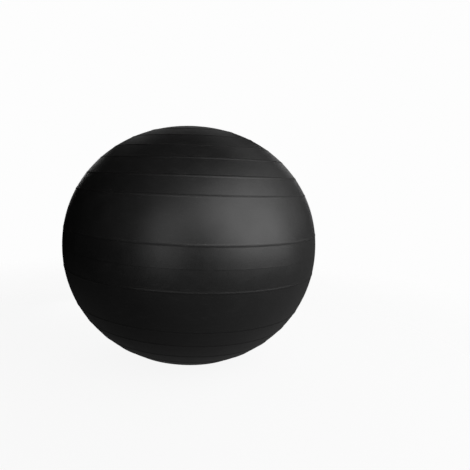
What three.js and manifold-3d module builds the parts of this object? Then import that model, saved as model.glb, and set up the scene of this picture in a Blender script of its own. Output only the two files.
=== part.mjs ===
// Inflatable exercise ball: a hollow vinyl skin with raised rings, a moulded valve seat set into it,
// and the plug that pulls out of the valve.
// Millimetres, +Z up. The ball rests on z = 0, with its valve at the back, on the +Y side.
import * as THREE from "three";
import Module from "manifold-3d";

const wasm = await Module();
wasm.setup();

// Skin
const BALL_RADIUS = 325; // half the width, over the smooth skin
const BALL_HALF_HEIGHT = 305; // pole to equator, before the floor flattens the lower pole
const BALL_FULLNESS = 2.057; // exponent of the meridian: 2 is an ellipse, more fills out the shoulders
const WALL = 0.85; // inflated
const CONTACT_RADIUS = 42; // flat patch where the loaded skin lies on the floor

// Rings and seam. A level is a height above the equator as a fraction of BALL_HALF_HEIGHT.
const RIB_LEVELS = [
  -0.951, -0.891, -0.81, -0.718, -0.595, -0.465, -0.162, 0.153, 0.465, 0.595, 0.718, 0.81, 0.891, 0.951,
];
const RIB = { foot: 7.2, crest: 2.4, height: 0.75 };
const SEAM = { foot: 2.4, crest: 1.0, height: 0.2 };
const SMOOTH_LEVELS = [0.08, 0.23, 0.309, 0.39, 0.979, 0.995]; // plain rows between the rings

// Turning the skin
const SKIN_SECTORS = 44;
const VALVE_AZIMUTH = Math.PI / 2;
const VALVE_EXTRA_AZIMUTHS = [-4, -2, 2, 4]; // degrees from the valve, where the skin is cut finer

// Valve
const VALVE_LEVEL = 0.309;
const SMALL_SECTORS = 40;
const GAP = 0.3; // between pieces that touch on the real ball
const BORE_OVERRUN = 1.0; // how far the bore's cutter runs past the tube, each way
const OPENING_REACH = 6.0; // how far the cutter of the skin's opening runs past the skin, each way
const SEAT_RADIUS = 15.0;
const SEAT_BEVEL = 0.8;
const DISH_RADIUS = 12.0;
const DISH_DEPTH = 1.6;
const FLANGE_RADIUS = 21.0;
const FLANGE_TOP = -2.3;
const FLANGE_BOTTOM = -4.3;
const TUBE_RADIUS = 8.2;
const TUBE_END = -22.0;
const BORE_RADIUS = 4.8;

// Plug
const HEAD_RADIUS = 11.4;
const HEAD_FLAT_RADIUS = 9.4;
const HEAD_EDGE = 0.3;
const HEAD_TOP = 0.9;
const HEAD_CROWN = 1.1; // height of the low dome at the head's centre
const STEM_RADIUS = 3.7;
const STEM_RING_RADIUS = BORE_RADIUS - GAP;
const STEM_RINGS = [-5.5, -9.5, -13.5, -17.5]; // heights of the sealing rings
const STEM_RING_HALF = 1.1;
const STEM_SHOULDER = -20.5;
const STEM_END = -25.0;
const STEM_TIP_RADIUS = 2.4;

/** Radius and height of the smooth skin at a level, with its outward normal, in the half plane of the axis. */
function meridian(level) {
  const part = Math.abs(level);
  const radius = BALL_RADIUS * (1 - part ** BALL_FULLNESS) ** (1 / BALL_FULLNESS);
  const across = (radius / BALL_RADIUS) ** (BALL_FULLNESS - 1) / BALL_RADIUS;
  const along = (Math.sign(level) * part ** (BALL_FULLNESS - 1)) / BALL_HALF_HEIGHT;
  const length = Math.hypot(across, along);
  return { radius, height: level * BALL_HALF_HEIGHT, normal: [across / length, along / length] };
}

/** The point `along` mm up the skin from a level and `out` mm off it. */
function offSkin(level, along, out) {
  const { radius, height, normal } = meridian(level);
  const [across, up] = normal;
  return [radius - up * along + across * out, height + across * along + up * out];
}

/** The four corners of a raised ring, from its lower foot to its upper foot. */
function ringRows(level, { foot, crest, height }) {
  return [
    offSkin(level, -foot / 2, 0),
    offSkin(level, -crest / 2, height),
    offSkin(level, crest / 2, height),
    offSkin(level, foot / 2, 0),
  ];
}

/** Levels of both halves of the skin, from the lowest to the highest. */
function bothHalves(levels) {
  return [...levels.map((level) => -level), ...levels].sort((a, b) => a - b);
}

const contactLevel = -((1 - (CONTACT_RADIUS / BALL_RADIUS) ** BALL_FULLNESS) ** (1 / BALL_FULLNESS));
const contactHeight = contactLevel * BALL_HALF_HEIGHT;

/** Rows of the outer skin: floor patch, plain rows, rings and seam in order, then the top pole. */
function outerProfile() {
  const plain = bothHalves(SMOOTH_LEVELS)
    .filter((level) => level > contactLevel)
    .map((level) => ({ level, rows: [offSkin(level, 0, 0)] }));
  const rings = RIB_LEVELS.map((level) => ({ level, rows: ringRows(level, RIB) }));
  const seam = { level: 0, rows: ringRows(0, SEAM) };
  const ordered = [...plain, ...rings, seam].sort((a, b) => a.level - b.level);
  return [
    [0, contactHeight],
    [CONTACT_RADIUS, contactHeight],
    ...ordered.flatMap(({ rows }) => rows),
    [0, BALL_HALF_HEIGHT],
  ];
}

/** Rows of the inner skin, one wall thickness inside the smooth one. */
function innerProfile() {
  const levels = [...bothHalves(SMOOTH_LEVELS), ...RIB_LEVELS, 0]
    .filter((level) => level > contactLevel)
    .sort((a, b) => a - b);
  return [
    [0, contactHeight + WALL],
    [CONTACT_RADIUS, contactHeight + WALL],
    ...levels.map((level) => offSkin(level, 0, -WALL)),
    [0, BALL_HALF_HEIGHT - WALL],
  ];
}

function skinAzimuths() {
  const even = Array.from({ length: SKIN_SECTORS }, (_, i) => (i * 2 * Math.PI) / SKIN_SECTORS);
  const extra = VALVE_EXTRA_AZIMUTHS.map((degrees) => VALVE_AZIMUTH + THREE.MathUtils.degToRad(degrees));
  return [...even, ...extra].sort((a, b) => a - b);
}

function evenAzimuths(count) {
  return Array.from({ length: count }, (_, i) => (i * 2 * Math.PI) / count);
}

/** Closed solid of a profile of [radius, height] rows that starts and ends on the axis, lowest row first. */
function revolve(profile, azimuths) {
  const rings = profile.slice(1, -1);
  const count = azimuths.length;
  const positions = [0, 0, profile[0][1]];
  for (const [radius, height] of rings) {
    for (const azimuth of azimuths) {
      positions.push(radius * Math.cos(azimuth), radius * Math.sin(azimuth), height);
    }
  }
  positions.push(0, 0, profile.at(-1)[1]);

  const lastRing = 1 + (rings.length - 1) * count;
  const apex = lastRing + count;
  const triangles = [];
  for (let i = 0; i < count; i += 1) {
    const next = (i + 1) % count;
    triangles.push(0, 1 + next, 1 + i);
    for (let low = 1; low < lastRing; low += count) {
      const high = low + count;
      triangles.push(low + i, low + next, high + next);
      triangles.push(low + i, high + next, high + i);
    }
    triangles.push(lastRing + i, lastRing + next, apex);
  }
  return new wasm.Manifold(
    new wasm.Mesh({
      numProp: 3,
      vertProperties: new Float32Array(positions),
      triVerts: new Uint32Array(triangles),
    }),
  );
}

/** Upright cylinder from `low` to `high` on the axis. */
function cylinder(radius, low, high) {
  const profile = [
    [0, low],
    [radius, low],
    [radius, high],
    [0, high],
  ];
  return revolve(profile, evenAzimuths(SMALL_SECTORS));
}

/** Moves a solid from the valve's own frame, +Z out of the skin, to its place on the ball. */
function placeAtValve(solid) {
  const { radius, height, normal } = meridian(VALVE_LEVEL);
  const tilt = -THREE.MathUtils.radToDeg(Math.acos(normal[1]));
  return solid.rotate([tilt, 0, 0]).translate([0, radius, height]);
}

function ballSkin() {
  const azimuths = skinAzimuths();
  const shell = revolve(outerProfile(), azimuths).subtract(revolve(innerProfile(), azimuths));
  const opening = placeAtValve(cylinder(SEAT_RADIUS + GAP, -OPENING_REACH, OPENING_REACH));
  return shell.subtract(opening);
}

/** Valve seat: a dished rim in the skin, a flange behind it and the tube that grips the plug. */
function valveSeat() {
  const body = [
    [0, TUBE_END],
    [TUBE_RADIUS - SEAT_BEVEL, TUBE_END],
    [TUBE_RADIUS, TUBE_END + SEAT_BEVEL],
    [TUBE_RADIUS, FLANGE_BOTTOM],
    [FLANGE_RADIUS - SEAT_BEVEL, FLANGE_BOTTOM],
    [FLANGE_RADIUS, FLANGE_BOTTOM + SEAT_BEVEL],
    [FLANGE_RADIUS, FLANGE_TOP],
    [SEAT_RADIUS, FLANGE_TOP],
    [SEAT_RADIUS, -SEAT_BEVEL / 2],
    [SEAT_RADIUS - SEAT_BEVEL, 0],
    [DISH_RADIUS, 0],
    [DISH_RADIUS, -DISH_DEPTH],
    [0, -DISH_DEPTH],
  ];
  const bore = cylinder(BORE_RADIUS, TUBE_END - BORE_OVERRUN, BORE_OVERRUN);
  return placeAtValve(revolve(body, evenAzimuths(SMALL_SECTORS)).subtract(bore));
}

/** Plug: a low head in the seat's dish and a stem with sealing rings, tapered at its end. */
function valvePlug() {
  const underHead = GAP - DISH_DEPTH;
  const ringRowsDown = STEM_RINGS.flatMap((height) => [
    [STEM_RADIUS, height + STEM_RING_HALF],
    [STEM_RING_RADIUS, height + STEM_RING_HALF / 3],
    [STEM_RING_RADIUS, height - STEM_RING_HALF / 3],
    [STEM_RADIUS, height - STEM_RING_HALF],
  ]);
  const body = [
    [0, STEM_END],
    [STEM_TIP_RADIUS, STEM_END],
    [STEM_RADIUS, STEM_SHOULDER],
    ...ringRowsDown.reverse(),
    [STEM_RADIUS, underHead],
    [HEAD_FLAT_RADIUS, underHead],
    [HEAD_RADIUS, HEAD_EDGE - SEAT_BEVEL],
    [HEAD_RADIUS, HEAD_EDGE],
    [HEAD_FLAT_RADIUS, HEAD_TOP],
    [0, HEAD_CROWN],
  ];
  return placeAtValve(revolve(body, evenAzimuths(SMALL_SECTORS)));
}

/** Named mesh of a solid, lifted so that the floor patch lies on z = 0. */
function namedMesh(name, solid, material) {
  const { vertProperties, triVerts } = solid.translate([0, 0, -contactHeight]).getMesh();
  const geometry = new THREE.BufferGeometry();
  geometry.setAttribute("position", new THREE.BufferAttribute(vertProperties, 3));
  geometry.setIndex(new THREE.BufferAttribute(triVerts, 1));
  geometry.computeVertexNormals();
  const mesh = new THREE.Mesh(geometry, new THREE.MeshStandardMaterial(material));
  mesh.name = name;
  return mesh;
}

const part = new THREE.Group();
part.add(
  namedMesh("ball_skin", ballSkin(), { color: 0x1b1b1d, roughness: 0.45, metalness: 0 }),
  namedMesh("valve_seat", valveSeat(), { color: 0x222224, roughness: 0.5, metalness: 0 }),
  namedMesh("valve_plug", valvePlug(), { color: 0x2b2b2e, roughness: 0.45, metalness: 0 }),
);

export default part;
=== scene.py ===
# %% [markdown]
# # An inflatable exercise ball
#
# The object is a 65 cm ball of black vinyl, the kind people sit and stretch on. Its skin is
# moulded hollow in one piece and blown up, so it is almost a sphere, a little wider than tall.
# Raised rings run round it, and a push-in plug closes its valve at the back. Three pieces make
# the whole ball: the skin, the valve seat set into it, and the plug.
#
# The lesson loads the engineering model first, because every new piece has to sit where that
# model says. Everything is in metres, with +Z up and the floor at z = 0.

# %% Load the frame
import math

import bpy
import numpy as np
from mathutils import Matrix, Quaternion, Vector


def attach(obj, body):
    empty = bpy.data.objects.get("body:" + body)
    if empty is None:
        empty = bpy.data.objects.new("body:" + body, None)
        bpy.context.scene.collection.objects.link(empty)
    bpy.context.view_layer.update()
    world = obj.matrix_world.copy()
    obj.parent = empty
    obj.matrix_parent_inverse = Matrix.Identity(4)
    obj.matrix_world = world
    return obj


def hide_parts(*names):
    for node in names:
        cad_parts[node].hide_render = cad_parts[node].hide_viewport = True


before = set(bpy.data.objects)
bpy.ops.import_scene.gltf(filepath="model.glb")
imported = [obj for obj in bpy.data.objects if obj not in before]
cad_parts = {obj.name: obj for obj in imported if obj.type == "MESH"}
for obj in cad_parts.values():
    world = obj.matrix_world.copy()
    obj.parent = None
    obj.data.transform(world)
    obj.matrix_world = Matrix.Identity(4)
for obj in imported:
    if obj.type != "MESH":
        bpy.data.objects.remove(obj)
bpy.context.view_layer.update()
MM = 0.001

# %% [markdown]
# ## The camera
#
# The ball is seen from a little above its middle and quite close, about 1.2 m from its centre.
# The rings slope down by two degrees to the right, so the camera is rolled by that much. The
# ball stands left of the middle of the view: a small sideways shift of the lens puts it there
# without turning the camera, which would change its perspective.

# %% Camera
CAMERA_PLACE = Vector((0.0, -1.188, 0.485))
CAMERA_HEADING = math.radians(0.99)  # to the left of +Y
CAMERA_DROP = math.radians(8.31)  # below the horizon
CAMERA_ROLL = math.radians(1.91)
SENSOR_WIDTH = 36.0  # mm
LENS = 34.54  # mm
LENS_SHIFT = (0.116, 0.0119)  # as parts of the sensor's width


def aim(heading, drop, roll):
    """Rotation that looks along a heading and a drop, then turns about the line of sight."""
    forward = Vector(
        (
            -math.sin(heading) * math.cos(drop),
            math.cos(heading) * math.cos(drop),
            -math.sin(drop),
        )
    )
    upright = forward.to_track_quat("-Z", "Y")
    return upright @ Quaternion((0.0, 0.0, 1.0), roll)


camera_data = bpy.data.cameras.new("camera")
camera_data.sensor_width = SENSOR_WIDTH
camera_data.lens = LENS
camera_data.shift_x, camera_data.shift_y = LENS_SHIFT
camera = bpy.data.objects.new("camera", camera_data)
camera.location = CAMERA_PLACE
camera.rotation_mode = "QUATERNION"
camera.rotation_quaternion = aim(CAMERA_HEADING, CAMERA_DROP, CAMERA_ROLL)
bpy.context.scene.collection.objects.link(camera)
bpy.context.scene.camera = camera
print("camera rotation", [round(v, 4) for v in camera.rotation_quaternion])

# %% [markdown]
# ## Helpers: colours, nodes and meshes
#
# Blender's shaders want linear light, while a colour is easiest to read as the hex value a
# paint program shows, so one function turns one into the other. Another adds a node with its
# settings and links in one call. The third turns a numpy grid of points into a mesh.


# %% Colour and node helpers
def linear(hex_colour):
    """Linear RGBA of an sRGB hex string. Each part c becomes c / 12.92 below 0.04045, and
    ((c + 0.055) / 1.055) ^ 2.4 above it."""
    c = np.array([int(hex_colour[i : i + 2], 16) for i in (1, 3, 5)]) / 255.0
    rgb = np.where(c <= 0.04045, c / 12.92, ((c + 0.055) / 1.055) ** 2.4)
    return (*rgb.tolist(), 1.0)


def add(tree, kind, settings=None, inputs=None):
    """Adds a node and gives it its settings. An input that is a socket is linked, and any other
    is a value to set."""
    node = tree.nodes.new(kind)
    for name, value in (settings or {}).items():
        setattr(node, name, value)
    for name, value in (inputs or {}).items():
        if isinstance(value, bpy.types.NodeSocket):
            tree.links.new(value, node.inputs[name])
        else:
            node.inputs[name].default_value = value
    return node


def new_material(name):
    """An empty node material with its output node."""
    material = bpy.data.materials.new(name)
    material.use_nodes = True
    material.node_tree.nodes.clear()
    return material, add(material.node_tree, "ShaderNodeOutputMaterial")


# %% Mesh helper
def turned_mesh(name, points, keep=None, poles=(None, None), loop=False):
    """Mesh of a grid points[row, column] whose last column joins its first. keep says which of
    its cells get a face. A pole is the point that closes the first or last row with a fan. In a
    loop the last row joins the first one instead."""
    rows, columns = points.shape[:2]
    index = np.arange(rows * columns).reshape(rows, columns)
    if loop:
        index = np.concatenate([index, index[:1]])
    beside = np.roll(index, -1, axis=1)
    cells = np.stack([index[:-1], beside[:-1], beside[1:], index[1:]], axis=-1)
    faces = (cells.reshape(-1, 4) if keep is None else cells[keep]).tolist()
    vertices = points.reshape(-1, 3).tolist()
    fans = ((poles[0], beside[0], index[0]), (poles[1], index[-1], beside[-1]))
    for pole, start, end in fans:
        if pole is not None:
            tip = np.full(columns, len(vertices))
            vertices.append(list(pole))
            faces += np.stack([start, end, tip], axis=-1).tolist()
    mesh = bpy.data.meshes.new(name)
    mesh.from_pydata(vertices, [], faces)
    mesh.shade_smooth()
    piece = bpy.data.objects.new(name, mesh)
    bpy.context.scene.collection.objects.link(piece)
    print(name, len(mesh.vertices), "points,", len(mesh.polygons), "faces")
    return piece


# %% [markdown]
# ## The ball's outline
#
# Blown up, the skin is not quite a sphere: it is 650 mm wide and about 610 mm tall. An ellipse
# comes close, but the real outline is a touch fuller at its shoulders, so the meridian is a
# superellipse: the radius and the height each follow a power of the cosine and the sine. It is
# worked out once as a fine table with its length measured along the skin, because rings,
# seam and valve are all placed by that length.

# %% Meridian
RADIUS = 325 * MM
HALF_HEIGHT = 305 * MM
FULLNESS = 2.057  # exponent of the superellipse; 2 would be an ellipse
CONTACT_RADIUS = 42 * MM
TABLE_ROWS = 20001

turn = np.linspace(-np.pi / 2, np.pi / 2, TABLE_ROWS)
table_radius = RADIUS * np.abs(np.cos(turn)) ** (2 / FULLNESS)
table_height = HALF_HEIGHT * np.sign(turn) * np.abs(np.sin(turn)) ** (2 / FULLNESS)
table_steps = np.hypot(np.diff(table_radius), np.diff(table_height))
table_length = np.concatenate([[0.0], np.cumsum(table_steps)])
SKIN_LENGTH = table_length[-1]


def length_at(level):
    """Length along the skin, from the lower pole up to a level. A level is a height over the
    equator as a part of HALF_HEIGHT."""
    return np.interp(np.asarray(level) * HALF_HEIGHT, table_height, table_length)


def meridian(length):
    """Radius, height and outward normal at a length. The normal is the line from a step behind
    to a step ahead, turned a quarter."""

    def at(place):
        return tuple(np.interp(place, table_length, t) for t in (table_radius, table_height))

    step = 1.0 * MM
    radius, height = at(length)
    radius_behind, height_behind = at(np.maximum(length - step, 0.0))
    radius_ahead, height_ahead = at(np.minimum(length + step, SKIN_LENGTH))
    out, up = height_ahead - height_behind, radius_behind - radius_ahead
    size = np.hypot(out, up)
    return radius, height, out / size, up / size


lower = turn < 0
CENTRE_HEIGHT = -np.interp(CONTACT_RADIUS, table_radius[lower], table_height[lower])
print("skin pole to pole", round(SKIN_LENGTH, 4), "centre height", round(CENTRE_HEIGHT, 4))

# %% [markdown]
# ## Rings and seam
#
# The rings are ribs that the mould leaves on the skin. They stop a sweaty back from sliding, and
# they make a tear stop instead of run. Each stands three quarters of a millimetre proud on a
# broad soft foot, because the skin between two ribs stretches more than the thick rib does. They
# come in nearly mirrored pairs, closer together towards the poles, and leave three wide plain
# bands round the middle. At the equator runs the thin line where the two halves of the mould met.
#
# A rib is a raised cosine on a low wide bell, both functions of the distance along the skin.

# %% Ring heights
RINGS_BELOW = [-0.951, -0.891, -0.81, -0.718, -0.595, -0.465, -0.162]
RINGS_ABOVE = [0.153, 0.465, 0.595, 0.718, 0.81, 0.891, 0.951]
RING_HALF_WIDTH = 3.6 * MM
RING_HEIGHT = 0.6 * MM
RING_FOOT_WIDTH = 9.0 * MM
RING_FOOT_HEIGHT = 0.15 * MM
SEAM_HALF_WIDTH = 1.2 * MM
SEAM_HEIGHT = 0.10 * MM

ring_lengths = length_at(RINGS_BELOW + RINGS_ABOVE)
seam_length = float(length_at(0.0))


def rib(distance, half_width, height):
    """Raised cosine: height times (1 + cos(pi d / w)) / 2 inside the half width w, and nothing
    outside it."""
    inside = np.abs(distance) < half_width
    return np.where(inside, height * 0.5 * (1 + np.cos(np.pi * distance / half_width)), 0.0)


def ring_rise(length):
    """How far the rings and the seam stand off the smooth skin: the sum of every rib and its
    bell-shaped foot, exp(-(d / w) ^ 2)."""
    away = np.asarray(length)[..., None] - ring_lengths
    ribs = rib(away, RING_HALF_WIDTH, RING_HEIGHT).sum(axis=-1)
    feet = (RING_FOOT_HEIGHT * np.exp(-((away / RING_FOOT_WIDTH) ** 2))).sum(axis=-1)
    return ribs + feet + rib(length - seam_length, SEAM_HALF_WIDTH, SEAM_HEIGHT)


print("ring circles, radius in mm", (meridian(ring_lengths)[0] / MM).round(0).tolist())

# %% [markdown]
# ## The skin
#
# The skin is one sheet wrapped round the meridian: a point is given by its azimuth and its
# length along the meridian. The rows lie close together on the ribs and further apart on the
# plain bands. At the valve the sheet needs a round hole, so the grid gets finer there, the cells
# inside a small square are dropped, and the points around it are drawn in until the square is a
# circle. The lower pole is pressed flat where the ball's weight lays it on the floor.
#
# A real blown-up skin is never perfect, so it also dips by a fraction of a millimetre in broad
# patches. That is what makes a reflection on it look soft and a bit uneven. It never rises past
# the smooth outline, because the engineering model is no larger than that. Solidify gives the
# sheet its wall, which closes it round the hole.

# %% The valve's place
WALL = 0.85 * MM
VALVE_LEVEL = 0.309
VALVE_AZIMUTH = np.pi / 2
SEAT_RADIUS = 15.0 * MM
GAP = 0.3 * MM
HOLE_RADIUS = SEAT_RADIUS + GAP

valve_length = float(length_at(VALVE_LEVEL))
valve_radius, valve_height, valve_out, valve_up = (float(v) for v in meridian(valve_length))
print("valve", round(valve_radius, 4), "m out,", round(valve_height, 4), "m over the equator")

# %% Rows and columns
HOLE_REACH = 2.2 * HOLE_RADIUS  # the grid is straight again this far out
HOLE_ROWS = 17
LIP_ROWS = np.array([0.5, 1.5]) * MM  # rows this far outside the hole keep its edge crisp
RING_ROWS, SEAM_ROWS = 7, 5
FOOT_ROW = 1.0 * MM  # a row this far outside each rib keeps its slope from shading the plain band
BELL_ROW = 1.3 * RING_FOOT_WIDTH  # and one this far out follows the bell under the rib
FLOOR_ROWS = [0.45 * CONTACT_RADIUS, CONTACT_RADIUS]
TOP_ROW = SKIN_LENGTH - 0.3 * CONTACT_RADIUS
PLAIN_STEP = 15 * MM
EVEN_COLUMNS = 200


def sorted_marks(parts):
    """All the parts' values in order, each one once."""
    return np.unique(np.round(np.concatenate(parts), 7))


def across(half_width, count, beyond):
    """Evenly spaced values from edge to edge of a band, and some beyond each edge."""
    outside = half_width + np.asarray(beyond)
    return np.concatenate([np.linspace(-half_width, half_width, count), -outside, outside])


window = across(HOLE_RADIUS, HOLE_ROWS, [*LIP_ROWS, 0.5 * HOLE_RADIUS, HOLE_REACH - HOLE_RADIUS])
marks = sorted_marks(
    [
        (ring_lengths[:, None] + across(RING_HALF_WIDTH, RING_ROWS, [FOOT_ROW])).ravel(),
        ring_lengths - BELL_ROW,
        ring_lengths + BELL_ROW,
        seam_length + across(SEAM_HALF_WIDTH, SEAM_ROWS, [FOOT_ROW]),
        valve_length + window,
        [*FLOOR_ROWS, TOP_ROW],
    ]
)
fills = [
    np.linspace(a, b, math.ceil((b - a) / PLAIN_STEP) + 1)[1:] for a, b in zip(marks, marks[1:])
]
rows = np.concatenate([marks[:1], *fills])
even_columns = np.linspace(0, 2 * np.pi, EVEN_COLUMNS + 1)
columns = sorted_marks([even_columns, VALVE_AZIMUTH + window / valve_radius])[:-1]
print(len(rows), "rows,", len(columns), "columns")

# %% The sheet
WAVES = 14
WAVE_LENGTH = 220 * MM  # from crest to crest, or so
DIP_DEPTH = 0.10 * MM
draws = np.random.default_rng(7)
wave_vectors = draws.normal(size=(WAVES, 3)) * (2 * np.pi / WAVE_LENGTH)
wave_phases = draws.uniform(0, 2 * np.pi, WAVES)


def dip(points):
    """Broad hollows of the blown skin, as heights of 0 and below: plane waves in mixed
    directions, summed, divided by the root of their number, and cut off above zero."""
    waves = np.sin(points @ wave_vectors.T + wave_phases)
    return np.minimum(DIP_DEPTH * waves.sum(axis=-1) / math.sqrt(WAVES), 0.0)


def skin_point(azimuth, length):
    """The smooth meridian turned to the azimuth, moved along its normal by rings and dips, and
    kept off the floor."""
    radius, height, out, up = meridian(length)
    normal = np.stack([out * np.cos(azimuth), out * np.sin(azimuth), up], axis=-1)
    across_and_up = [radius * np.cos(azimuth), radius * np.sin(azimuth), height + CENTRE_HEIGHT]
    smooth = np.stack(across_and_up, axis=-1)
    raised = smooth + (ring_rise(length) + dip(smooth))[..., None] * normal
    return np.concatenate([raised[..., :2], np.maximum(raised[..., 2:], 0.0)], axis=-1)


def round_window(azimuth, length):
    """Draws the square window into a circle: (u, v) times 1 + blend * (square / hypot(u, v) - 1),
    where square is max(|u|, |v|), and the blend is 1 inside the hole's square and fades to 0 at
    the window's edge."""
    u = (azimuth - VALVE_AZIMUTH) * valve_radius
    v = length - valve_length
    square = np.maximum(np.abs(u), np.abs(v))
    blend = np.clip((HOLE_REACH - square) / (HOLE_REACH - HOLE_RADIUS), 0.0, 1.0)
    scale = 1 + blend * (square / np.maximum(np.hypot(u, v), 1e-9) - 1)
    return VALVE_AZIMUTH + u * scale / valve_radius, valve_length + v * scale, square


azimuth, length, square = round_window(*np.meshgrid(columns, rows))
corner_inside = square <= HOLE_RADIUS + 0.01 * MM
side_inside = corner_inside & np.roll(corner_inside, -1, axis=1)
cell_in_hole = side_inside[:-1] & side_inside[1:]
skin_points = skin_point(azimuth, length)
skin_poles = skin_point(np.zeros(2), np.array([0.0, SKIN_LENGTH]))
skin = turned_mesh("skin", skin_points, keep=~cell_in_hole, poles=skin_poles)

wall = skin.modifiers.new("wall", "SOLIDIFY")
wall.thickness = WALL
wall.offset = -1.0  # the wall grows inwards
wall.use_even_offset = True
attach(skin, "ball")
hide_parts("ball_skin")
print("skin box", skin_points.min(axis=(0, 1)).round(4), skin_points.max(axis=(0, 1)).round(4))


# %% Marks that the skin's material reads
def mark(piece, name, values):
    """Stores one number per point on a piece, under a name that its material can read. Poles,
    which come last, get 0."""
    values = np.asarray(values, np.float32).ravel()
    padded = np.zeros(len(piece.data.vertices), np.float32)
    padded[: len(values)] = values
    layer = piece.data.attributes.new(name, "FLOAT", "POINT")
    layer.data.foreach_set("value", padded)


SEAM_STAIN = 1.5 * SEAM_HALF_WIDTH  # the seam's dark line is a little wider than the seam
away = length[..., None] - ring_lengths
# on_ring drives the rings' duller gloss, and also the painted shade darkening their colour
on_ring = rib(away, RING_HALF_WIDTH, 1.0).sum(axis=-1)
mark(skin, "on_ring", on_ring)
mark(skin, "by_ring", np.exp(-((away / RING_FOOT_WIDTH) ** 2)).sum(axis=-1))
mark(skin, "on_seam", rib(length - seam_length, SEAM_STAIN, 1.0))
print("points on a ring", int((on_ring > 0).sum()), "of", on_ring.size)

# %% [markdown]
# ## Black vinyl
#
# The skin is plasticised PVC, moulded hollow by turning a hot mould with a little liquid vinyl
# inside. The mould's blasted wall leaves a fine grain, which spreads a reflection into a broad
# soft glow, and carbon black in the vinyl makes it nearly black under that glow. A patch here and
# there lay better against the mould and came out glossier. The ribs are thick and stretched the
# least when the ball was blown up, so they keep the mould's dullest finish. Their colour is also
# darkened to the deepest black, which is painted shade along the rings.
# Dust and fine scuffs settle on top of all that.
#
# A pattern that is the same size everywhere reads Object coordinates, and what follows the
# rings reads the marks stored on the mesh.

# %% Skin material
GRAIN_SIZE = 1.1 * MM  # the blasted grain is finer, but would not show
PATCH_SIZE = 45 * MM
SCUFF_SIZE = (26 * MM, 26 * MM, 2.5 * MM)  # drawn out round the ball by rolling
DUST_SIZE = 2.2 * MM

vinyl, vinyl_out = new_material("moulded black vinyl")
tree = vinyl.node_tree
place = add(tree, "ShaderNodeTexCoord").outputs["Object"]
ring_mark = add(tree, "ShaderNodeAttribute", {"attribute_name": "on_ring"}).outputs["Fac"]
foot_mark = add(tree, "ShaderNodeAttribute", {"attribute_name": "by_ring"}).outputs["Fac"]
seam_mark = add(tree, "ShaderNodeAttribute", {"attribute_name": "on_seam"}).outputs["Fac"]
facing = add(tree, "ShaderNodeNewGeometry").outputs["Normal"]
facing_up = add(tree, "ShaderNodeSeparateXYZ", inputs={0: facing}).outputs["Z"]

patches = add(
    tree,
    "ShaderNodeTexNoise",
    inputs={"Vector": place, "Scale": 1 / PATCH_SIZE, "Detail": 3.0, "Roughness": 0.55},
).outputs["Fac"]
grain = add(
    tree,
    "ShaderNodeTexNoise",
    inputs={"Vector": place, "Scale": 1 / GRAIN_SIZE, "Detail": 2.0, "Roughness": 0.6},
).outputs["Fac"]
drawn_out = add(
    tree,
    "ShaderNodeMapping",
    inputs={"Vector": place, "Scale": tuple(1 / size for size in SCUFF_SIZE)},
).outputs["Vector"]
scuffs = add(
    tree,
    "ShaderNodeTexNoise",
    inputs={"Vector": drawn_out, "Scale": 1.0, "Detail": 2.0, "Roughness": 0.7},
).outputs["Fac"]
scuffed = add(
    tree,
    "ShaderNodeMapRange",
    inputs={"Value": scuffs, "From Min": 0.58, "From Max": 0.75, "To Min": 0.0, "To Max": 1.0},
).outputs["Result"]
specks = add(
    tree,
    "ShaderNodeTexNoise",
    inputs={"Vector": place, "Scale": 1 / DUST_SIZE, "Detail": 1.0},
).outputs["Fac"]
speckled = add(
    tree,
    "ShaderNodeMapRange",
    inputs={"Value": specks, "From Min": 0.62, "From Max": 0.78, "To Min": 0.0, "To Max": 1.0},
).outputs["Result"]
dust_lies = add(
    tree,
    "ShaderNodeMapRange",
    inputs={"Value": facing_up, "From Min": 0.0, "From Max": 0.9, "To Min": 0.15, "To Max": 1.0},
).outputs["Result"]
dust_gathers = add(
    tree, "ShaderNodeMath", {"operation": "MULTIPLY_ADD"}, {0: foot_mark, 1: 0.8, 2: dust_lies}
).outputs[0]
dust = add(
    tree, "ShaderNodeMath", {"operation": "MULTIPLY"}, {0: speckled, 1: dust_gathers}
).outputs[0]
print("grain", GRAIN_SIZE / MM, "mm, patches", PATCH_SIZE / MM, "mm, dust", DUST_SIZE / MM, "mm")

# %% Skin colour
patch_black = add(
    tree,
    "ShaderNodeMix",
    {"data_type": "RGBA"},
    {0: patches, 6: linear("#161616"), 7: linear("#1d1d1d")},
).outputs[2]
# Painted shade: the rings' colour is darkened towards #020202 in place of the shade along them. The
# seam gets half that darkening as its own dark line.
ring_shade_and_seam_line = add(
    tree, "ShaderNodeMath", {"operation": "MULTIPLY_ADD"}, {0: seam_mark, 1: 0.5, 2: ring_mark}
).outputs[0]
with_ring_shade_and_seam_line = add(
    tree,
    "ShaderNodeMix",
    {"data_type": "RGBA"},
    {0: ring_shade_and_seam_line, 6: patch_black, 7: linear("#020202")},
).outputs[2]
scuff_amount = add(
    tree, "ShaderNodeMath", {"operation": "MULTIPLY"}, {0: scuffed, 1: 0.22}
).outputs[0]
with_scuffs = add(
    tree,
    "ShaderNodeMix",
    {"data_type": "RGBA"},
    {0: scuff_amount, 6: with_ring_shade_and_seam_line, 7: linear("#3a3a3a")},
).outputs[2]
dust_amount = add(
    tree, "ShaderNodeMath", {"operation": "MULTIPLY"}, {0: dust, 1: 0.14}
).outputs[0]
with_dust = add(
    tree,
    "ShaderNodeMix",
    {"data_type": "RGBA"},
    {0: dust_amount, 6: with_scuffs, 7: linear("#7c7a76")},
).outputs[2]
print(len(tree.nodes), "nodes so far: pattern and colour")

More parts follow.
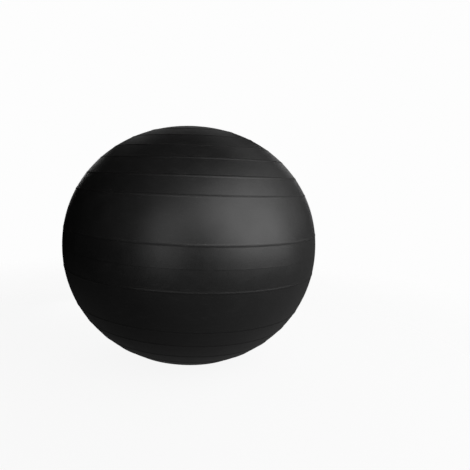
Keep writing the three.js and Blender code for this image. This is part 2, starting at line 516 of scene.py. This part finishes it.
# %% Skin gloss and grain
patch_gloss = add(
    tree,
    "ShaderNodeMapRange",
    inputs={"Value": patches, "From Min": 0.3, "From Max": 0.7, "To Min": 0.36, "To Max": 0.43},
).outputs["Result"]
ring_gloss = add(
    tree, "ShaderNodeMath", {"operation": "MULTIPLY_ADD"}, {0: ring_mark, 1: 0.20, 2: patch_gloss}
).outputs[0]
scuff_gloss = add(
    tree, "ShaderNodeMath", {"operation": "MULTIPLY_ADD"}, {0: scuffed, 1: 0.05, 2: ring_gloss}
).outputs[0]
fine_bump = add(
    tree, "ShaderNodeBump", inputs={"Height": grain, "Strength": 1.0, "Distance": 0.16 * MM}
).outputs["Normal"]
scuff_bump = add(
    tree,
    "ShaderNodeBump",
    inputs={"Height": scuffs, "Strength": 0.15, "Distance": 0.08 * MM, "Normal": fine_bump},
).outputs["Normal"]
vinyl_shader = add(
    tree,
    "ShaderNodeBsdfPrincipled",
    inputs={"Base Color": with_dust, "Roughness": scuff_gloss, "IOR": 1.53, "Normal": scuff_bump},
)
tree.links.new(vinyl_shader.outputs[0], vinyl_out.inputs[0])
skin.data.materials.append(vinyl)
print(len(tree.nodes), "nodes in the skin's material")

# %% [markdown]
# ## The valve's two pieces
#
# The seat is a soft vinyl moulding welded into the skin: a rim that lies level with the skin, a
# shallow dish inside it, a wide flange behind the skin and a tube for the plug. The plug is
# harder: polyethylene, with a low head that fills the dish and a stem whose rings press against
# the tube and keep the air in.
#
# Both are turned shapes. Each is drawn as half of its section, corner by corner, with distance
# from the valve's axis and height over the skin. One function softens the corners as a mould
# does, and another turns the section round the axis.

# %% Section helpers
VALVE_PLACE = np.array([0.0, valve_radius, valve_height + CENTRE_HEIGHT])
VALVE_AXIS = np.array([0.0, valve_out, valve_up])
VALVE_SIDE = np.array([1.0, 0.0, 0.0])
VALVE_COLUMNS = 144
CORNER_ROWS = 6
around = np.linspace(0, 2 * np.pi, VALVE_COLUMNS, endpoint=False)
print("valve at", (VALVE_PLACE / MM).round(1).tolist(), "mm")


def soften(outline, reaches):
    """Rounds the inner corners of an outline. A corner c with reach r gives way to the parabola
    (1 - t)^2 a + 2 t (1 - t) c + t^2 b, with a and b on its two sides, r away from it. A row half a
    reach further out on each side keeps the flat faces flat to the eye. Also gives each point's
    share of a corner, above zero where it stands proud and below where it is hollow."""
    outline = np.asarray(outline, float) * MM
    corner = outline[1:-1]
    back, ahead = outline[:-2] - corner, outline[2:] - corner
    back /= np.linalg.norm(back, axis=1, keepdims=True)
    ahead /= np.linalg.norm(ahead, axis=1, keepdims=True)
    reach = np.asarray(reaches, float)[:, None] * MM
    a, b = corner + back * reach, corner + ahead * reach
    t = np.linspace(0, 1, CORNER_ROWS)
    u = t[:, None, None]
    bend = (1 - u) ** 2 * a + 2 * u * (1 - u) * corner + u**2 * b
    bend = np.concatenate([(a + 0.5 * reach * back)[None], bend, (b + 0.5 * reach * ahead)[None]])
    proud = np.sign(ahead[:, 0] * back[:, 1] - ahead[:, 1] * back[:, 0])
    share = np.concatenate([[0.0], 4 * t * (1 - t), [0.0]])[:, None] * proud
    return bend.transpose(1, 0, 2).reshape(-1, 2), share.T.ravel()


def at_valve(radius, height):
    """A section turned round the valve's axis: the place, plus radius times the direction
    cos a side + sin a other, plus height times the axis."""
    radius, height = np.broadcast_arrays(radius, height)
    other = np.cross(VALVE_AXIS, VALVE_SIDE)
    turned = np.cos(around)[:, None] * VALVE_SIDE + np.sin(around)[:, None] * other
    return VALVE_PLACE + radius[..., None] * turned + height[..., None] * VALVE_AXIS


# %% Valve seat
SEAT_OUTLINE = [  # mm from the axis, mm over the skin, with each corner's reach
    (4.8, -22.0, 0.5),
    (8.2, -22.0, 0.8),
    (8.2, -4.3, 1.2),
    (21.0, -4.3, 0.7),
    (21.0, -2.3, 0.7),
    (15.0, -2.3, 0.5),
    (15.0, 0.0, 0.8),
    (13.9, 0.0, 0.12),
    (13.6, -0.3, 0.12),
    (13.3, 0.0, 0.12),
    (12.0, 0.0, 0.4),
    (12.0, -1.6, 0.4),
    (4.8, -1.6, 0.4),
]
seat_outline = np.array(SEAT_OUTLINE)
seat_corners = seat_outline[:, :2]
closed_corners = np.concatenate([seat_corners[-1:], seat_corners, seat_corners[:1]])
seat_section, seat_share = soften(closed_corners, seat_outline[:, 2])
seat = turned_mesh("seat", at_valve(seat_section[:, :1], seat_section[:, 1:]), loop=True)
mark(seat, "on_edge", np.repeat(np.maximum(seat_share, 0.0), VALVE_COLUMNS))
mark(seat, "in_hollow", np.repeat(np.maximum(-seat_share, 0.0), VALVE_COLUMNS))
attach(seat, "ball")
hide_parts("valve_seat")

# %% Valve plug
STEM_RING_HEIGHTS = [-17.5, -13.5, -9.5, -5.5]
STEM_RING = [(3.7, -1.1, 0.3), (4.5, -0.35, 0.3), (4.5, 0.35, 0.3), (3.7, 1.1, 0.3)]
PLUG_END, PLUG_TOP = -25.0, 0.9  # heights on the axis
stem_rings = [
    (radius, middle + height, reach)
    for middle in STEM_RING_HEIGHTS
    for radius, height, reach in STEM_RING
]
PLUG_OUTLINE = [
    (2.4, PLUG_END, 0.6),
    (3.7, -20.5, 0.6),
    *stem_rings,
    (3.7, -1.3, 0.5),
    (9.4, -1.3, 0.5),
    (11.4, -0.5, 0.3),
    (11.4, 0.3, 0.3),
    (9.4, 0.9, 0.5),
    (7.4, 0.97, 0.12),
    (7.1, 0.72, 0.12),
    (6.8, 0.99, 0.12),
    (1.5, 1.08, 0.15),
    (1.2, 0.90, 0.12),
]
FLUTES = 24  # grips for a fingernail round the head's edge
FLUTE_DEPTH = 0.18 * MM
FLUTE_START = 9.9 * MM  # from the axis
FLUTE_FADE = 1.0 * MM

plug_outline = np.array(PLUG_OUTLINE)
plug_corners = [(0.0, PLUG_END), *plug_outline[:, :2], (0.0, PLUG_TOP)]
plug_section, plug_share = soften(plug_corners, plug_outline[:, 2])
plug_radius, plug_height = plug_section[:, :1], plug_section[:, 1:]
at_head_edge = np.clip((plug_radius - FLUTE_START) / FLUTE_FADE, 0, 1)
fluted = plug_radius - FLUTE_DEPTH * at_head_edge * (0.5 + 0.5 * np.cos(FLUTES * around))
plug_poles = VALVE_PLACE + np.outer([PLUG_END * MM, PLUG_TOP * MM], VALVE_AXIS)
plug = turned_mesh("plug", at_valve(fluted, plug_height), poles=plug_poles)
mark(plug, "on_edge", np.repeat(np.maximum(plug_share, 0.0), VALVE_COLUMNS))
mark(plug, "in_hollow", np.repeat(np.maximum(-plug_share, 0.0), VALVE_COLUMNS))
mark(plug, "from_axis", np.repeat(plug_radius.ravel(), VALVE_COLUMNS))
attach(plug, "plug")
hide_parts("valve_plug")

# %% [markdown]
# ## Soft vinyl and polyethylene
#
# The seat is injection-moulded from a soft vinyl that will weld to the skin. It comes out of a
# polished steel mould, so it is a little glossier and more even than the skin, with slight
# ripples where the melt met, handling shine on its proud edges and dust in its dish.
#
# Polyethylene is waxy: it never takes a hard gloss, and its reflections have soft edges. The
# mould's insert was turned on a lathe, which leaves faint rings about the head's middle. Fingers
# polish the edges where the plug is pulled. Its hollows are darkened in colour as painted shade.

# %% Seat material
RIPPLE_SIZE = 3.0 * MM
SEAT_DUST_SIZE = 0.9 * MM

seat_vinyl, seat_out = new_material("injection-moulded soft vinyl")
tree = seat_vinyl.node_tree
place = add(tree, "ShaderNodeTexCoord").outputs["Object"]
edge_mark = add(tree, "ShaderNodeAttribute", {"attribute_name": "on_edge"}).outputs["Fac"]
hollow_mark = add(tree, "ShaderNodeAttribute", {"attribute_name": "in_hollow"}).outputs["Fac"]
ripples = add(
    tree,
    "ShaderNodeTexNoise",
    inputs={"Vector": place, "Scale": 1 / RIPPLE_SIZE, "Detail": 2.0},
).outputs["Fac"]
seat_specks = add(
    tree,
    "ShaderNodeTexNoise",
    inputs={"Vector": place, "Scale": 1 / SEAT_DUST_SIZE, "Detail": 2.0},
).outputs["Fac"]
seat_dust = add(
    tree,
    "ShaderNodeMapRange",
    inputs={"Value": seat_specks, "From Min": 0.5, "From Max": 0.75, "To Min": 0.0, "To Max": 0.12},
).outputs["Result"]
dust_settled = add(
    tree, "ShaderNodeMath", {"operation": "MULTIPLY_ADD"}, {0: hollow_mark, 1: 0.10, 2: seat_dust}
).outputs[0]
seat_black = add(
    tree,
    "ShaderNodeMix",
    {"data_type": "RGBA"},
    {0: ripples, 6: linear("#1d1d1f"), 7: linear("#262628")},
).outputs[2]
seat_colour = add(
    tree,
    "ShaderNodeMix",
    {"data_type": "RGBA"},
    {0: dust_settled, 6: seat_black, 7: linear("#6e6c68")},
).outputs[2]
seat_gloss = add(
    tree,
    "ShaderNodeMapRange",
    inputs={"Value": ripples, "From Min": 0.3, "From Max": 0.7, "To Min": 0.34, "To Max": 0.44},
).outputs["Result"]
seat_worn = add(
    tree, "ShaderNodeMath", {"operation": "MULTIPLY_ADD"}, {0: edge_mark, 1: -0.10, 2: seat_gloss}
).outputs[0]
seat_bump = add(
    tree, "ShaderNodeBump", inputs={"Height": ripples, "Strength": 0.25, "Distance": 0.1 * MM}
).outputs["Normal"]
seat_shader = add(
    tree,
    "ShaderNodeBsdfPrincipled",
    inputs={"Base Color": seat_colour, "Roughness": seat_worn, "IOR": 1.53, "Normal": seat_bump},
)
tree.links.new(seat_shader.outputs[0], seat_out.inputs[0])
seat.data.materials.append(seat_vinyl)
print(len(tree.nodes), "nodes in the seat's material")

# %% Plug material
TOOL_MARK_PITCH = 0.5 * MM  # the lathe's real pitch is finer, but would not show
BLOOM_SIZE = 5.0 * MM

polyethylene, plug_out = new_material("injection-moulded polyethylene")
tree = polyethylene.node_tree
place = add(tree, "ShaderNodeTexCoord").outputs["Object"]
edge_mark = add(tree, "ShaderNodeAttribute", {"attribute_name": "on_edge"}).outputs["Fac"]
hollow_mark = add(tree, "ShaderNodeAttribute", {"attribute_name": "in_hollow"}).outputs["Fac"]
distance = add(tree, "ShaderNodeAttribute", {"attribute_name": "from_axis"}).outputs["Fac"]
rings_turned = add(
    tree,
    "ShaderNodeMath",
    {"operation": "MULTIPLY"},
    {0: distance, 1: 2 * math.pi / TOOL_MARK_PITCH},
).outputs[0]
tool_marks = add(tree, "ShaderNodeMath", {"operation": "SINE"}, {0: rings_turned}).outputs[0]
bloom = add(
    tree,
    "ShaderNodeTexNoise",
    inputs={"Vector": place, "Scale": 1 / BLOOM_SIZE, "Detail": 3.0},
).outputs["Fac"]
plug_grey = add(
    tree,
    "ShaderNodeMix",
    {"data_type": "RGBA"},
    {0: bloom, 6: linear("#28282b"), 7: linear("#323236")},
).outputs[2]
# Painted shade: the plug's colour is darkened towards #19191b in its hollows and inner corners.
painted_hollow_shade = add(
    tree, "ShaderNodeMath", {"operation": "MULTIPLY"}, {0: hollow_mark, 1: 0.5}
).outputs[0]
plug_colour = add(
    tree,
    "ShaderNodeMix",
    {"data_type": "RGBA"},
    {0: painted_hollow_shade, 6: plug_grey, 7: linear("#19191b")},
).outputs[2]
plug_gloss = add(
    tree,
    "ShaderNodeMapRange",
    inputs={"Value": bloom, "From Min": 0.3, "From Max": 0.7, "To Min": 0.38, "To Max": 0.48},
).outputs["Result"]
plug_worn = add(
    tree, "ShaderNodeMath", {"operation": "MULTIPLY_ADD"}, {0: edge_mark, 1: -0.12, 2: plug_gloss}
).outputs[0]
plug_bump = add(
    tree, "ShaderNodeBump", inputs={"Height": tool_marks, "Strength": 0.15, "Distance": 0.02 * MM}
).outputs["Normal"]
plug_shader = add(
    tree,
    "ShaderNodeBsdfPrincipled",
    inputs={"Base Color": plug_colour, "Roughness": plug_worn, "IOR": 1.51, "Normal": plug_bump},
)
tree.links.new(plug_shader.outputs[0], plug_out.inputs[0])
plug.data.materials.append(polyethylene)
print(len(tree.nodes), "nodes in the plug's material")

# %% [markdown]
# ## Floor and room
#
# The ball stands in a studio whose floor and walls run into one another without a corner. A
# huge plane would show an edge against the sky, so this floor fades out: it is a pale painted
# plane near the ball and turns transparent further away, where the equally pale room takes
# over. The paint takes only a faint soft shadow, and a little glow stands for the light that a
# real white studio bounces back from all sides.
#
# Black gloss shows its surroundings more than its own colour. The room that the camera sees is
# nearly white, but the room that the ball mirrors is dark over the horizon, as between the
# lamps of a studio, and dim grey below it, where the floor sends some light back. The lamps
# stand on the right, so the floor is brighter there.

# %% Floor
STAGE_TONE = "#fdfdfd"
FLOOR_REACH = 4.0  # metres from the middle to each side
FADE_START, FADE_END = 0.5, 1.6  # metres from the middle

floor_corners = [(x, y, 0.0) for x, y in ((-1, -1), (1, -1), (1, 1), (-1, 1))]
floor_mesh = bpy.data.meshes.new("floor")
floor_mesh.from_pydata((np.array(floor_corners) * FLOOR_REACH).tolist(), [], [(0, 1, 2, 3)])
floor = bpy.data.objects.new("floor", floor_mesh)
bpy.context.scene.collection.objects.link(floor)
floor.visible_glossy = False
floor.visible_diffuse = False

pale, pale_out = new_material("pale paint")
tree = pale.node_tree
place = add(tree, "ShaderNodeTexCoord").outputs["Object"]
from_middle = add(
    tree, "ShaderNodeVectorMath", {"operation": "LENGTH"}, {0: place}
).outputs["Value"]
shown = add(
    tree,
    "ShaderNodeMapRange",
    {"interpolation_type": "SMOOTHSTEP"},
    {
        "Value": from_middle,
        "From Min": FADE_START,
        "From Max": FADE_END,
        "To Min": 1.0,
        "To Max": 0.0,
    },
).outputs[0]
paint = add(tree, "ShaderNodeBsdfDiffuse", inputs={"Color": linear("#505050")}).outputs[0]
glow = add(
    tree, "ShaderNodeEmission", inputs={"Color": linear(STAGE_TONE), "Strength": 0.92}
).outputs[0]
lit = add(tree, "ShaderNodeAddShader", inputs={0: paint, 1: glow}).outputs[0]
clear = add(tree, "ShaderNodeBsdfTransparent").outputs[0]
mixed = add(tree, "ShaderNodeMixShader", inputs={0: shown, 1: clear, 2: lit})
tree.links.new(mixed.outputs[0], pale_out.inputs[0])
floor_mesh.materials.append(pale)
print("floor", 2 * FLOOR_REACH, "m wide, fades out by", FADE_END, "m")

# %% Room
world = bpy.data.worlds.new("room")
bpy.context.scene.world = world
world.use_nodes = True
tree = world.node_tree
tree.nodes.clear()
world_out = add(tree, "ShaderNodeOutputWorld")
place = add(tree, "ShaderNodeTexCoord").outputs["Generated"]
split = add(tree, "ShaderNodeSeparateXYZ", inputs={0: place})
sideways, upwards = split.outputs["X"], split.outputs["Z"]
far_floor = add(
    tree,
    "ShaderNodeMapRange",
    inputs={"Value": sideways, "From Min": -0.5, "From Max": 1.0, "To Min": 0.0, "To Max": 0.13},
).outputs[0]
near_floor = add(
    tree,
    "ShaderNodeMapRange",
    inputs={"Value": sideways, "From Min": -0.5, "From Max": 1.0, "To Min": 0.05, "To Max": 0.203},
).outputs[0]
steepness = add(
    tree,
    "ShaderNodeMapRange",
    {"interpolation_type": "SMOOTHSTEP"},
    {"Value": upwards, "From Min": -0.12, "From Max": -0.72, "To Min": 0.0, "To Max": 1.0},
).outputs[0]
bounce = add(
    tree, "ShaderNodeMix", inputs={0: steepness, 2: far_floor, 3: near_floor}
).outputs[0]
below = add(
    tree,
    "ShaderNodeMapRange",
    inputs={"Value": upwards, "From Min": -0.02, "From Max": 0.02, "To Min": 1.0, "To Max": 0.0},
).outputs[0]
ground = add(tree, "ShaderNodeMath", {"operation": "MULTIPLY"}, {0: bounce, 1: below}).outputs[0]
mirrored = add(
    tree, "ShaderNodeBackground", inputs={"Color": (1, 1, 1, 1), "Strength": ground}
).outputs[0]
seen = add(
    tree, "ShaderNodeBackground", inputs={"Color": linear(STAGE_TONE), "Strength": 1.0}
).outputs[0]
from_camera = add(tree, "ShaderNodeLightPath").outputs["Is Camera Ray"]
either = add(tree, "ShaderNodeMixShader", inputs={0: from_camera, 1: mirrored, 2: seen})
tree.links.new(either.outputs[0], world_out.inputs[0])
print(len(tree.nodes), "nodes in the room")

# %% [markdown]
# ## Softboxes
#
# The glow on the ball is the blurred image of the lamps. A very large softbox at the right makes
# the main glow, and smaller ones inside its field make the glow's middle brighter and lean it
# towards the viewer. A tall narrow one at the left gives the second, fainter glow. Small ones
# behind the ball draw its outline, and three that stand close to its back light only the part
# that is turned away, for a look round the ball.
#
# A lamp's place is given by its direction from the ball's centre: azimuth, which is 0 on the
# viewer's side and 90 on the right, elevation and distance.

# %% Softboxes
BALL_CENTRE = Vector((0.0, 0.0, CENTRE_HEIGHT))
SOFTBOXES = {  # azimuth, elevation, distance, width, height, watts
    "key_core": (60, 18, 2.0, 1.1, 1.1, 5.85),
    "key_wide": (60, 26, 2.0, 2.3, 2.2, 19.5),
    "key_low": (60, 4, 2.0, 2.2, 0.7, 2.3),
    "key_right": (84, 20, 2.0, 1.0, 1.3, 0.55),
    "key_near": (30, 22, 2.0, 1.0, 1.2, 4.4),
    "key_high": (45, 48, 2.0, 2.0, 0.9, 4.65),
    "top_front": (20, 66, 2.0, 1.2, 1.0, 0.45),
    "left_strip": (-18, 12, 2.0, 0.75, 1.6, 4.85),
    "left_high": (-12, 42, 2.0, 1.2, 1.0, 0.82),
    "front_mid": (6, 28, 2.2, 1.2, 1.0, 2.55),
    "far_right": (108, 24, 2.0, 0.9, 1.3, 1.3),
    "high_right": (120, 48, 2.0, 0.8, 0.9, 0.6),
    "rim_right": (150, 12, 2.0, 0.6, 0.9, 1.35),
    "rim_top": (186, 34, 2.0, 1.2, 0.7, 0.6),
    "rim_high_right": (150, 50, 2.0, 1.0, 0.7, 0.33),
    "rim_left": (208, 10, 2.0, 0.6, 0.9, 0.22),
    "rim_left_high": (218, 44, 2.0, 0.8, 0.7, 0.08),
    "left_side": (-60, 20, 2.0, 0.8, 1.2, 0.18),
    "back": (182, 9, 0.85, 0.45, 0.6, 2.6),
    "back_left": (216, 2, 0.65, 0.3, 0.5, 0.8),
    "left_near": (230, 20, 0.5, 0.2, 0.3, 0.10),
}
for name, (azimuth, elevation, distance, width, height, watts) in SOFTBOXES.items():
    a, e = math.radians(azimuth), math.radians(elevation)
    towards = Vector((math.sin(a) * math.cos(e), -math.cos(a) * math.cos(e), math.sin(e)))
    data = bpy.data.lights.new(name, "AREA")
    data.shape = "RECTANGLE"
    data.size, data.size_y, data.energy = width, height, watts
    lamp = bpy.data.objects.new(name, data)
    lamp.location = BALL_CENTRE + towards * distance
    lamp.rotation_mode = "QUATERNION"
    lamp.rotation_quaternion = (-towards).to_track_quat("-Z", "Y")
    lamp.visible_camera = False
    bpy.context.scene.collection.objects.link(lamp)
bpy.context.scene.view_settings.view_transform = "Standard"
total_watts = sum(box[-1] for box in SOFTBOXES.values())
print(len(SOFTBOXES), "softboxes,", round(total_watts, 1), "watts")
